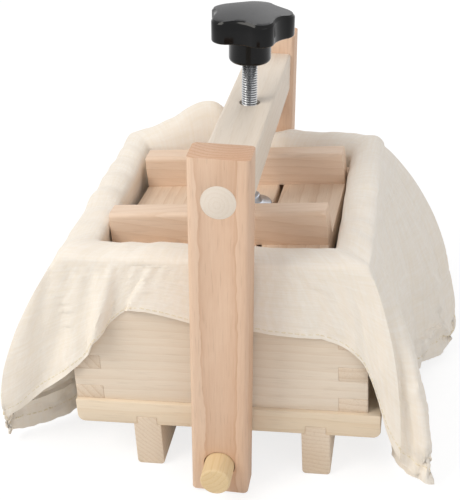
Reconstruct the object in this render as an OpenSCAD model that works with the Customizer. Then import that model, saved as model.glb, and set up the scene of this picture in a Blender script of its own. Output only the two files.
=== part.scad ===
// Wooden tofu press: a bottomless finger-jointed box on a footed base board, lined with
// cheesecloth, and a timber frame with a star-knob screw that drives a slatted press plate.
// Millimetres. +Z is up, the floor is z = 0, the front is -Y, the origin is on the floor
// under the middle of the box.

/* [Box] */
// Outside width of the box, left to right
box_w = 150; // [130:1:180]
// Outside depth of the box, front to back
box_d = 145; // [130:1:180]
// Thickness of the box's walls
wall_t = 14.5; // [10:0.5:16]
// Height of each finger on the edges of the side walls
side_finger_h = 8; // [6:0.5:12]
// Height of each finger on the edges of the front and back walls
end_finger_h = 10.5; // [6:0.5:12]
// Number of fingers on each edge of a side wall
side_fingers = 5; // [4:1:6]

/* [Base] */
// Thickness of the base board
base_t = 13.5; // [10:0.5:18]
// How far the base board stands out past the box at the left
base_left_lip = 0.5; // [0:0.5:10]
// How far the base board stands out past the box at the right
base_right_lip = 6.5; // [3:0.5:10]
// How far the base board stands out past the box at the front and the back
base_end_lip = 2.2; // [1:0.1:5]
// Radius of the base board's lower side edges
base_edge_r = 4; // [1:0.5:6]
// Height of the runners below the base board
runner_h = 25.5; // [22:0.5:40]
// Width of a runner
runner_w = 14.5; // [12:0.5:18]
// Radius of a runner's lower edges
runner_edge_r = 2; // [0.5:0.5:4]
// Place of the left runner's middle
left_runner_x = -38.4; // [-50:0.1:-32]
// Place of the right runner's middle
right_runner_x = 48.9; // [36:0.1:54]
// Width of the tongue that is glued into the base board's groove
tongue_w = 10.5; // [6:0.5:12]
// Height of the tongue
tongue_h = 4.5; // [2:0.5:7]

/* [Frame] */
// Width of an upright
upright_w = 28.5; // [24:0.5:36]
// Thickness of an upright
upright_t = 17; // [14:0.5:22]
// Gap between the base board's end and an upright
upright_gap = 2.1; // [1.5:0.1:5]
// Gap between an upright's lower end and the floor
upright_floor_gap = 1.2; // [1:0.1:4]
// Height of an upright above the beam's top
upright_above_beam = 10; // [4:0.5:20]
// Radius of the uprights' long edges
upright_edge_r = 2.5; // [0.5:0.5:5]
// Width of the cross beam
beam_w = 24.2; // [20:0.1:28]
// Height of the cross beam
beam_h = 21.7; // [18:0.1:30]
// Radius of the beam's long edges
beam_edge_r = 1.5; // [0.5:0.5:4]
// Room between the box's rim and the beam's underside
press_room = 32.4; // [30:0.1:60]
// Diameter of the round tenons that join the beam to the uprights
tenon_d = 16.2; // [10:0.1:18]
// How deep a tenon goes into the beam
tenon_depth = 20; // [12:1:30]
// Place of the frame's middle at the dowel
frame_x = 2.4; // [0:0.1:5]
// Lean of the frame to the right at rest, in degrees
frame_lean = 3; // [0:0.1:3]

/* [Dowel] */
// Diameter of the loose dowel under the base board
dowel_d = 15; // [12:0.5:17]
// Radial clearance of the dowel in the uprights
dowel_clear = 0.4; // [0.2:0.1:0.6]
// Gap between the dowel and the base board's underside
dowel_gap = 0.2; // [0.1:0.1:0.5]
// How far the dowel stands out past each upright
dowel_reach = 13.5; // [5:0.5:25]
// Chamfer at the dowel's ends
dowel_chamfer = 0.8; // [0.2:0.1:2]

/* [Screw] */
// Diameter of the threaded rod
rod_d = 8; // [6:1:9]
// Radial clearance of the rod in the threaded insert
rod_clear = 0.06; // [0.03:0.01:0.1]
// Bare rod between the beam and the knob at rest
rod_bare = 22; // [19:0.5:40]
// How deep the rod goes into the knob
rod_in_knob = 14; // [8:0.5:17]
// Diameter of the hole through the beam
beam_hole_d = 10.4; // [10.2:0.1:12]
// Diameter of the insert's barrel
insert_d = 10; // [9.6:0.1:10]
// Length of the insert's barrel
insert_l = 9; // [6:0.5:14]
// Diameter of the insert's flange
insert_flange_d = 22; // [16:0.5:24]
// Thickness of the insert's flange
insert_flange_t = 1.5; // [1:0.1:2.5]

/* [Knob] */
// Diameter of the star knob over its lobes
knob_d = 43.5; // [38:0.5:50]
// Radius of each lobe's round end
lobe_r = 7; // [6.5:0.1:8]
// Radius at the bottom of the hollows between the lobes
knob_root_r = 17.3; // [16.5:0.1:18]
// How far the hollows cut into the lobes' round ends
knob_crease = 0.1; // [0.05:0.01:0.3]
// Number of lobes
lobes = 5; // [5:1:5]
// Height of the knob's head at its middle
knob_head_h = 13.5; // [11:0.5:18]
// Radius of the domed top
knob_dome_r = 90; // [70:5:200]
// Diameter of the knob's hub
hub_d = 21; // [16:0.5:24]
// Height of the knob's hub
hub_h = 13; // [8:0.5:16]
// Direction of one lobe seen from above, in degrees
lobe_turn = 9; // [0:1:71]

/* [Foot] */
// Diameter of the swivel foot
foot_d = 24; // [18:0.5:30]
// Thickness of the foot's rim
foot_rim_t = 2.6; // [1.5:0.1:4]
// Diameter of the foot's collar
collar_d = 13; // [11:0.5:15]
// Height of the foot's collar above its rim
collar_h = 5; // [4.6:0.1:7]
// Diameter of the ball at the rod's end
ball_d = 7; // [6.4:0.1:7.4]
// Clearance round the ball
ball_clear = 0.15; // [0.1:0.05:0.3]
// Diameter of the neck above the ball
neck_d = 4.6; // [3.6:0.1:5]
// Length of the neck that shows above the collar
neck_bare = 3; // [2:0.5:5]
// Gap between the foot and the press plate at rest
foot_gap = 0.3; // [0.2:0.1:0.5]

/* [Press plate] */
// Gap between the plate and the box's side walls
plate_side_gap = 4.8; // [4.4:0.1:9]
// Gap between the plate and the box's front and back walls
plate_end_gap = 6.8; // [5:0.1:9]
// Thickness of the plate's boards
board_t = 10; // [7:0.5:14]
// Width of each side board
side_board_w = 33.5; // [26:0.5:36]
// Gap between two boards
board_gap = 2.8; // [1:0.1:5]
// Width of a batten
batten_w = 12.6; // [10:0.1:16]
// Height of a batten
batten_h = 17.7; // [10:0.1:19]
// Distance from a batten's middle to the plate's front or back edge
batten_inset = 16; // [12:0.5:22]
// How much shorter a batten is at the top of each end
batten_bevel = 0.6; // [0:0.1:5]
// Radius of a batten's upper edges
batten_edge_r = 2.2; // [0.5:0.1:4]
// Depth of the plate's top below the box's rim at rest
plate_depth = 6.4; // [4:0.1:12]
// Place of the plate's middle
plate_x = 0; // [-1:0.1:1]
// Tilt of the plate at rest, right side up, in degrees
plate_tilt = 3.4; // [0:0.1:3.6]
// Turn of the plate at rest, in degrees
plate_turn = -2.2; // [-2.5:0.1:2.5]
// Diameter of the batten screws' shanks
screw_d = 3; // [2.5:0.1:4]
// Diameter of the batten screws' heads
screw_head_d = 6.4; // [5:0.1:8]
// Height of the batten screws' countersunk heads
screw_head_h = 2; // [1.5:0.1:3]
// Length of the batten screws
screw_l = 22; // [16:0.5:24]

/* [Cheesecloth] */
// Thickness that stands for the cloth
cloth_t = 1.2; // [1:0.1:1.5]
// Clearance between the cloth and the wood
cloth_gap = 0.3; // [0.3:0.05:0.5]
// How far the cloth's crest stands above the rim
crest_h = 2.4; // [1:0.1:4]

/* [Hidden] */

$fn = 64;
eps = 0.01;

// Heights of the box and the base
box_h = side_fingers * side_finger_h + (side_fingers - 1) * end_finger_h;
base_bottom = runner_h;
base_top = base_bottom + base_t;
rim_z = base_top + box_h;
base_w = box_w + base_left_lip + base_right_lip;
base_x = (base_right_lip - base_left_lip) / 2;
base_d = box_d + 2 * base_end_lip;
inner_w = box_w - 2 * wall_t;
inner_d = box_d - 2 * wall_t;

// The frame's own axes start on the dowel's axis
dowel_z = base_bottom - dowel_gap - dowel_d / 2;
upright_y = base_d / 2 + upright_gap;
beam_bottom = rim_z + press_room - dowel_z;
beam_top = beam_bottom + beam_h;
upright_low = upright_floor_gap - dowel_z;
upright_top = beam_top + upright_above_beam;
tenon_z = beam_bottom + beam_h / 2;
knob_z = beam_top + rod_bare;

// The plate's place, its upward direction and the frame's upward direction
plate_w = inner_w - 2 * plate_side_gap;
plate_d = inner_d - 2 * plate_end_gap;
centre_board_w = plate_w - 2 * (side_board_w + board_gap);
plate_top = rim_z - plate_depth;
plate_up = [-sin(plate_tilt) * cos(plate_turn), -sin(plate_tilt) * sin(plate_turn), cos(plate_tilt)];
frame_up = [sin(frame_lean), 0, cos(frame_lean)];
dowel_at = [frame_x, 0, dowel_z];
plate_at = [plate_x, 0, plate_top];

// The ball's height in the foot, and its place along the screw's axis
ball_h = foot_rim_t + ball_d / 2 - 1;
ball_z = (foot_gap + ball_h + plate_up * (plate_at - dowel_at)) / (plate_up * frame_up);
ball_at = dowel_at + ball_z * frame_up;
socket_r = ball_d / 2 + ball_clear;
neck_l = collar_h + neck_bare;
foot_top = foot_rim_t + collar_h;

// Colours
box_wood = "#E2D0BF";
base_wood = "#E6D0B4";
runner_wood = "#DCC9B4";
upright_wood = "#E3C3A8";
beam_wood = "#E6DACB";
tenon_wood = "#EBE1D6";
dowel_wood = "#E6CFA5";
board_wood = "#D9BC9C";
batten_wood = "#DDBB9A";
cloth_white = "#F3EBDD";
zinc = "#C9CCD0";
foot_steel = "#A4A9B0";
knob_black = "#1C1C1E";

module in_frame() {
    translate(dowel_at) rotate([0, frame_lean, 0]) children();
}

module in_plate() {
    translate(plate_at) rotate([0, -plate_tilt, plate_turn]) children();
}

module in_foot() {
    translate(ball_at - ball_h * plate_up) rotate([0, -plate_tilt, plate_turn]) children();
}

module round_rect(w, h, r) {
    square([w - 2 * r, h], center = true);
    square([w, h - 2 * r], center = true);
    for (x = [-1, 1], y = [-1, 1])
        translate([x * (w / 2 - r), y * (h / 2 - r)]) circle(r);
}

// A bar along Y with four round long edges, from y = -l / 2 to l / 2
module bar_y(w, l, h, r) {
    rotate([90, 0, 0]) linear_extrude(l, center = true) round_rect(w, h, r);
}

module hole_y(d, y, l) {
    translate([0, y, 0]) rotate([90, 0, 0]) cylinder(d = d, h = l, center = true);
}

// ---- Base

module base_profile() {
    difference() {
        translate([base_x, 0]) {
            translate([-base_w / 2, base_edge_r]) square([base_w, base_t - base_edge_r]);
            translate([-base_w / 2 + base_edge_r, 0]) square([base_w - 2 * base_edge_r, base_t]);
            for (x = [-1, 1]) translate([x * (base_w / 2 - base_edge_r), base_edge_r]) circle(base_edge_r);
        }
        for (x = [left_runner_x, right_runner_x])
            translate([x - tongue_w / 2, -eps]) square([tongue_w, tongue_h + eps]);
    }
}

module base_board() {
    color(base_wood) translate([0, 0, base_bottom])
        rotate([90, 0, 0]) linear_extrude(base_d, center = true) base_profile();
}

module runner(x) {
    color(runner_wood) translate([x, 0, 0]) rotate([90, 0, 0]) linear_extrude(base_d, center = true) {
        translate([-runner_w / 2, runner_edge_r]) square([runner_w, runner_h - runner_edge_r]);
        translate([-runner_w / 2 + runner_edge_r, 0]) square([runner_w - 2 * runner_edge_r, runner_h]);
        for (s = [-1, 1]) translate([s * (runner_w / 2 - runner_edge_r), runner_edge_r]) circle(runner_edge_r);
        translate([-tongue_w / 2, runner_h - eps]) square([tongue_w, tongue_h + eps]);
    }
}

module left_runner() runner(left_runner_x);
module right_runner() runner(right_runner_x);

// ---- Box: the side walls own the fingers at the bottom and the top of each corner

module finger_blocks(x, y) {
    for (i = [0 : side_fingers - 1])
        translate([x, y, base_top + i * (side_finger_h + end_finger_h)])
            cube([wall_t, wall_t, side_finger_h]);
}

module corner_fingers() {
    for (x = [-box_w / 2, box_w / 2 - wall_t], y = [-box_d / 2, box_d / 2 - wall_t]) finger_blocks(x, y);
}

module side_wall(side) {
    x = side < 0 ? -box_w / 2 : box_w / 2 - wall_t;
    color(box_wood) {
        translate([x, -box_d / 2 + wall_t, base_top]) cube([wall_t, inner_d, box_h]);
        for (y = [-box_d / 2, box_d / 2 - wall_t]) finger_blocks(x, y);
    }
}

module end_wall(end) {
    y = end < 0 ? -box_d / 2 : box_d / 2 - wall_t;
    color(box_wood) difference() {
        translate([-box_w / 2, y, base_top]) cube([box_w, wall_t, box_h]);
        corner_fingers();
    }
}

module left_wall() side_wall(-1);
module right_wall() side_wall(1);
module front_wall() end_wall(-1);
module back_wall() end_wall(1);

// ---- Frame

module upright(end) {
    y = end * (upright_y + upright_t / 2);
    length = upright_top - upright_low;
    color(upright_wood) in_frame() difference() {
        translate([0, y, upright_low]) linear_extrude(length) round_rect(upright_w, upright_t, upright_edge_r);
        hole_y(dowel_d + 2 * dowel_clear, y, upright_t + 2);
        translate([0, 0, tenon_z]) hole_y(tenon_d, y, upright_t + 2);
    }
}

module front_upright() upright(-1);
module back_upright() upright(1);

module tenon(end) {
    length = upright_t + tenon_depth;
    color(tenon_wood) in_frame() translate([0, 0, tenon_z])
        hole_y(tenon_d, end * (upright_y + upright_t - length / 2), length);
}

module front_tenon() tenon(-1);
module back_tenon() tenon(1);

module cross_beam() {
    color(beam_wood) in_frame() difference() {
        translate([0, 0, tenon_z]) bar_y(beam_w, 2 * upright_y, beam_h, beam_edge_r);
        for (end = [-1, 1]) translate([0, 0, tenon_z])
            hole_y(tenon_d, end * (upright_y - tenon_depth / 2 + 1), tenon_depth + 2);
        translate([0, 0, beam_bottom - 1]) cylinder(d = beam_hole_d, h = beam_h + 2);
    }
}

module threaded_insert() {
    color(zinc) in_frame() translate([0, 0, beam_bottom]) difference() {
        union() {
            cylinder(d = insert_d, h = insert_l);
            translate([0, 0, -insert_flange_t]) cylinder(d = insert_flange_d, h = insert_flange_t);
        }
        translate([0, 0, -insert_flange_t - 1])
            cylinder(r = rod_d / 2 + rod_clear, h = insert_l + insert_flange_t + 2);
    }
}

module lock_dowel() {
    half = upright_y + upright_t + dowel_reach;
    r = dowel_d / 2;
    color(dowel_wood) translate(dowel_at) rotate([90, 0, 0]) rotate_extrude()
        polygon([[0, -half], [r - dowel_chamfer, -half], [r, -half + dowel_chamfer],
            [r, half - dowel_chamfer], [r - dowel_chamfer, half], [0, half]]);
}

// ---- Screw

module threaded_rod() {
    top = knob_z + rod_in_knob;
    color(zinc) in_frame() {
        translate([0, 0, ball_z]) sphere(d = ball_d);
        translate([0, 0, ball_z]) cylinder(d = neck_d, h = neck_l + 1);
        translate([0, 0, ball_z + neck_l]) cylinder(d = rod_d, h = top - ball_z - neck_l);
    }
}

module star_outline() {
    lobe_at = knob_d / 2 - lobe_r;
    half_step = 180 / lobes;
    span = lobe_at * cos(half_step);
    touch_r = lobe_r - knob_crease;
    hollow_r = (lobe_at * lobe_at + knob_root_r * knob_root_r - 2 * knob_root_r * span - touch_r * touch_r)
        / (2 * (touch_r - knob_root_r + span));
    hollow_at = knob_root_r + hollow_r;
    difference() {
        union() {
            polygon([for (i = [0 : 2 * lobes - 1]) let (r = i % 2 == 0 ? lobe_at : hollow_at, a = i * half_step)
                [r * cos(a), r * sin(a)]]);
            for (i = [0 : lobes - 1]) rotate(2 * i * half_step) translate([lobe_at, 0]) circle(lobe_r);
        }
        for (i = [0 : lobes - 1]) rotate((2 * i + 1) * half_step) translate([hollow_at, 0]) circle(hollow_r);
    }
}

function dome_height(r) = knob_head_h - knob_dome_r + sqrt(knob_dome_r * knob_dome_r - r * r);

module star_knob() {
    color(knob_black) in_frame() translate([0, 0, knob_z]) difference() {
        union() {
            cylinder(d = hub_d, h = hub_h + 1);
            rotate(lobe_turn) translate([0, 0, hub_h]) intersection() {
                linear_extrude(knob_head_h) star_outline();
                rotate(180 / lobes / 2) rotate_extrude() polygon(concat([[0, -1], [knob_d / 2 + 1, -1]],
                    [for (i = [6 : -1 : 1]) let (r = (knob_d / 2 + 1) * i / 6) [r, dome_height(r)]],
                    [[0, knob_head_h]]));
            }
        }
        translate([0, 0, -1]) cylinder(d = rod_d, h = rod_in_knob + 1);
    }
}

module swivel_foot() {
    r = foot_d / 2;
    rim_round = 0.6;
    color(foot_steel) in_foot() difference() {
        rotate_extrude() polygon([[0, 0], [r - rim_round, 0], [r, rim_round], [r, foot_rim_t - rim_round],
            [r - rim_round, foot_rim_t], [collar_d / 2 + 1.5, foot_rim_t + 0.8],
            [collar_d / 2, foot_rim_t + 2], [collar_d / 2, foot_top - 0.8],
            [collar_d / 2 - 0.8, foot_top], [0, foot_top]]);
        translate([0, 0, ball_h]) sphere(socket_r);
        translate([0, 0, ball_h]) cylinder(r1 = neck_d / 2 + ball_clear, r2 = neck_d / 2 + 1.3,
            h = foot_top - ball_h + 1, $fn = 64);
    }
}

// ---- Press plate, in its own axes: z = 0 is the boards' top

batten_ys = [batten_inset - plate_d / 2, plate_d / 2 - batten_inset];
board_xs = [-(plate_w - side_board_w) / 2, 0, (plate_w - side_board_w) / 2];

module screw_shape(clear) {
    translate([0, 0, -board_t]) {
        cylinder(d = screw_d, h = screw_l);
        cylinder(d1 = screw_head_d, d2 = screw_d, h = screw_head_h, $fn = 64);
    }
    if (clear > 0) translate([0, 0, -board_t - clear]) cylinder(d = screw_head_d, h = clear);
}

module screw_places() {
    for (x = board_xs, y = batten_ys) translate([x, y, 0]) children();
}

module board(i) {
    w = i == 1 ? centre_board_w : side_board_w;
    color(board_wood) in_plate() difference() {
        translate([board_xs[i] - w / 2, -plate_d / 2, -board_t]) cube([w, plate_d, board_t]);
        screw_places() screw_shape(1);
    }
}

module left_board() board(0);
module centre_board() board(1);
module right_board() board(2);

module batten(y) {
    half = plate_w / 2;
    color(batten_wood) in_plate() difference() {
        translate([0, y, 0]) intersection() {
            rotate([90, 0, 0]) linear_extrude(batten_w, center = true)
                polygon([[-half, 0], [half, 0], [half - batten_bevel, batten_h], [-half + batten_bevel, batten_h]]);
            rotate([90, 0, 90]) linear_extrude(plate_w, center = true) {
                translate([-batten_w / 2, 0]) square([batten_w, batten_h - batten_edge_r]);
                translate([-batten_w / 2 + batten_edge_r, 0]) square([batten_w - 2 * batten_edge_r, batten_h]);
                for (s = [-1, 1])
                    translate([s * (batten_w / 2 - batten_edge_r), batten_h - batten_edge_r]) circle(batten_edge_r);
            }
        }
        screw_places() screw_shape(0);
    }
}

module front_batten() batten(batten_ys[0]);
module back_batten() batten(batten_ys[1]);

module batten_screws() {
    color(zinc) in_plate() screw_places() screw_shape(0);
}

// ---- Cheesecloth: one sheet that lines the box, goes over the rim and hangs outside in folds

columns = 48;
per_point = 2;

// Where the sheet's edge hangs, by hand, from the front left corner along the front to the
// right and on round the box: [x, y, height, how far the fold swells out]. x and y are
// distances past the box's own corner, side or middle, so the folds follow the box.
hem_sides = [
    [[-43, 4, 22, 13], [-22, -2.4, 62, 6], [-20, -2.7, 94, 3], [-6, -2.3, 88, 0], [1, -2.3, 85, 0], [20, -2.4, 75, 2]],
    [[26, -10, 44, 9], [33, -34, 5, 14], [13, -36, 6, 8], [17, -12, 18, 10], [26, -6, 8, 14], [37, -12, 5, 16]],
    [[45.7, -21, 14, 18], [30, 1.8, 44, 4], [6, 2.2, 52, 1], [2, 2.4, 52, 0], [-5, 2.4, 50, 2], [-26, 3, 44, 4]],
    [[-32, 1.5, 5, 12], [-22, 4, 7, 12], [-18, 2, 16, 10], [-15, 2, 14, 9], [-13.5, -6, 5, 10], [-39.5, -9, 4, 14]]];
// How far the crest rises above crest_h: more at the back, where the cloth stands in a puff
crest_sides = [
    [1, 0, 0.6, 0, 0, 0],
    [0, 0.5, 1, 0.5, 1.5, 3],
    [5, 7, 8, 7, 15.5, 18],
    [6, 3, 1.5, 2.5, 1, 0.5]];
rect_corners = [[-1, -1], [1, -1], [1, 1], [-1, 1]];
hem_points = [for (k = [0 : 3], i = [0 : 5]) let (h = hem_sides[k][i], p = on_rect(box_w / 2, box_d / 2, k, i / 6))
    [p[0] + h[0], p[1] + h[1], h[2], h[3]]];
crest_points = [for (side = crest_sides, c = side) c];

function on_rect(a, b, side, share) =
    let (p = rect_corners[side], q = rect_corners[(side + 1) % 4])
    [a * (p[0] + (q[0] - p[0]) * share), b * (p[1] + (q[1] - p[1]) * share)];
function ring_point(a, b, column) =
    let (n = columns / 4) on_rect(a, b, floor(column / n), (column % n) / n);

// A smooth closed curve through a list of points or numbers
function smooth(list, column) =
    let (n = len(list), u = column / per_point, i = floor(u), t = u - i,
        p0 = list[(i + n - 1) % n], p1 = list[i % n], p2 = list[(i + 1) % n], p3 = list[(i + 2) % n])
    (2 * p1 + (p2 - p0) * t + (2 * p0 - 5 * p1 + 4 * p2 - p3) * t * t
        + (3 * p1 - p0 - 3 * p2 + p3) * t * t * t) / 2;

// The sheet's middle surface, ring by ring: up the inside, over the rim, down to the hem. At
// the front and the back it swells only sideways, to stay clear of the uprights.
rim_steps = 6;
hang_steps = 6;
rings = rim_steps + hang_steps;
cloth_half = cloth_t / 2;
off_wall = cloth_gap + cloth_half;
inner_a = inner_w / 2 - off_wall;
inner_b = inner_d / 2 - off_wall;
outer_a = box_w / 2 + off_wall;
outer_b = box_d / 2 + off_wall;

function rim_point(ring, column) =
    let (crest = crest_h + smooth(crest_points, column), low = rim_z + off_wall,
        spread = [0, 0, 0.04, 0.5, 0.96, 1][ring],
        height = [base_top + off_wall, rim_z, low + 0.7, low + crest, low + 0.7, rim_z][ring],
        p = ring_point(inner_a + (outer_a - inner_a) * spread, inner_b + (outer_b - inner_b) * spread, column))
    [p[0], p[1], height];

function hang_point(step, column) =
    let (t = step / hang_steps, s = rim_point(rim_steps - 1, column), h = smooth(hem_points, column),
        away = [h[0] - s[0], h[1] - s[1]],
        out = ring_point(1, 1, column), out_y = abs(out[0]) < 1 ? 0 : 0.4 * out[1],
        swell = h[3] * 2 * t * (1 - t), t_y = away[1] * out[1] < 0 ? pow(t, 4) : t)
    [s[0] + away[0] * t + out[0] * swell, s[1] + away[1] * t_y + out_y * swell,
        s[2] + (h[2] - s[2]) * t + swell * 0.6];

function cloth_point(ring, column) =
    ring < rim_steps ? rim_point(ring, column) : hang_point(ring - rim_steps + 1, column);

function cloth_normal(ring, column) =
    let (along = cloth_point(ring, (column + 1) % columns) - cloth_point(ring, (column + columns - 1) % columns),
        down = cloth_point(min(ring + 1, rings - 1), column) - cloth_point(max(ring - 1, 0), column),
        n = cross(down, along))
    n / norm(n);

// The inside's bottom corner is set square, so that the lining stays flat on the board
function skin_point(ring, column, side) =
    let (p = cloth_point(ring, column), corner = ring_point(1, 1, column))
    ring == 0 ? [p[0] - side * cloth_half * corner[0], p[1] - side * cloth_half * corner[1], p[2] + side * cloth_half]
    : p + side * cloth_half * cloth_normal(ring, column);

module cheesecloth() {
    skins = [for (side = [-1, 1], ring = [0 : rings - 1], column = [0 : columns - 1]) skin_point(ring, column, side)];
    low_middle = [0, 0, base_top + cloth_gap];
    high_middle = [0, 0, base_top + cloth_gap + cloth_t];
    count = rings * columns;
    function at(skin, ring, column) = skin * count + ring * columns + column % columns;
    skin_faces = [for (ring = [0 : rings - 2], c = [0 : columns - 1]) each [
        [at(0, ring, c), at(0, ring + 1, c), at(0, ring + 1, c + 1)],
        [at(0, ring, c), at(0, ring + 1, c + 1), at(0, ring, c + 1)],
        [at(1, ring, c), at(1, ring + 1, c + 1), at(1, ring + 1, c)],
        [at(1, ring, c), at(1, ring, c + 1), at(1, ring + 1, c + 1)]]];
    end_faces = [for (c = [0 : columns - 1]) each [
        [at(0, rings - 1, c), at(1, rings - 1, c), at(1, rings - 1, c + 1)],
        [at(0, rings - 1, c), at(1, rings - 1, c + 1), at(0, rings - 1, c + 1)],
        [2 * count, at(0, 0, c), at(0, 0, c + 1)],
        [2 * count + 1, at(1, 0, c + 1), at(1, 0, c)]]];
    color(cloth_white) polyhedron(concat(skins, [low_middle, high_middle]), concat(skin_faces, end_faces));
}

base_board();
left_runner();
right_runner();
front_wall();
back_wall();
left_wall();
right_wall();
cheesecloth();
front_upright();
back_upright();
cross_beam();
front_tenon();
back_tenon();
threaded_insert();
lock_dowel();
threaded_rod();
star_knob();
swivel_foot();
left_board();
centre_board();
right_board();
front_batten();
back_batten();
batten_screws();
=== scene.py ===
# Wooden tofu press: a lined box on a footed board, in a timber frame with a star-knob screw.
# Metres throughout, with lengths in millimetres times MM. Each section makes one piece, or one
# group of like pieces, in the order in which the press is put together.
import math

import bmesh
import bpy
import numpy as np
from mathutils import Matrix, Vector, noise


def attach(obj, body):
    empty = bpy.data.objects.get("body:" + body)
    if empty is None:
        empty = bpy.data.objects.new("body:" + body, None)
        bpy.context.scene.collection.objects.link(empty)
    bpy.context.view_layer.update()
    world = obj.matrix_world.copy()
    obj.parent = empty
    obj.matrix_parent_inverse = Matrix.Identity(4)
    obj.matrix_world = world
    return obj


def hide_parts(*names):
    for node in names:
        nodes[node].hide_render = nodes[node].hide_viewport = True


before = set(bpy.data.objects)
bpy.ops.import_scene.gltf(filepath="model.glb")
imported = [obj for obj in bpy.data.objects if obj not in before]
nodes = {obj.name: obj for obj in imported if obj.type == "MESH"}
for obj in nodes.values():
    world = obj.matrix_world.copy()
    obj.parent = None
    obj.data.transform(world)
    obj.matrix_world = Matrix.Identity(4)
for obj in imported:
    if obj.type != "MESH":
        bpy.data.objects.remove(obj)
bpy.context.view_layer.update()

# ---- Base board and runners -------------------------------------------------------------
# A planed birch board on two beech runners. The runners are let in from below with tongues
# and glued. Their front ends are end grain, so the rings show there as slanting lines.
MM = 0.001


def linear(hex_colour):
    """The linear colour of an sRGB hex value, with alpha 1."""
    parts = [int(hex_colour[i : i + 2], 16) / 255 for i in (1, 3, 5)]
    return [p / 12.92 if p <= 0.04045 else ((p + 0.055) / 1.055) ** 2.4 for p in parts] + [1.0]


def add_node(tree, kind, values=None, links=None, stops=(), **settings):
    """Adds a node to the tree, with its settings, its inputs' values, its links and, on a
    colour ramp, its stops as pairs of place and linear colour."""
    made = tree.nodes.new(kind)
    for key, value in settings.items():
        setattr(made, key, value)
    for key, value in (values or {}).items():
        made.inputs[key].default_value = value
    for key, socket in (links or {}).items():
        tree.links.new(socket, made.inputs[key])
    for _ in range(len(stops) - 2):  # a new ramp has two
        made.color_ramp.elements.new(0.5)
    for element, (place, colour) in zip(made.color_ramp.elements if stops else (), stops):
        element.position = place
        element.color = colour
    return made


def grey(value):
    return [value, value, value, 1.0]


def darker(hex_colour, share):
    """The linear colour of an sRGB hex value, with that share of its light."""
    return [c * share for c in linear(hex_colour)[:3]] + [1.0]


def surface(name, **values):
    """A new material with its Principled shader's own values set."""
    material = bpy.data.materials.new(name)
    material.use_nodes = True
    shader = material.node_tree.nodes["Principled BSDF"]
    for key, value in values.items():
        shader.inputs[key.replace("_", " ")].default_value = value
    return material, material.node_tree, shader


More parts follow.
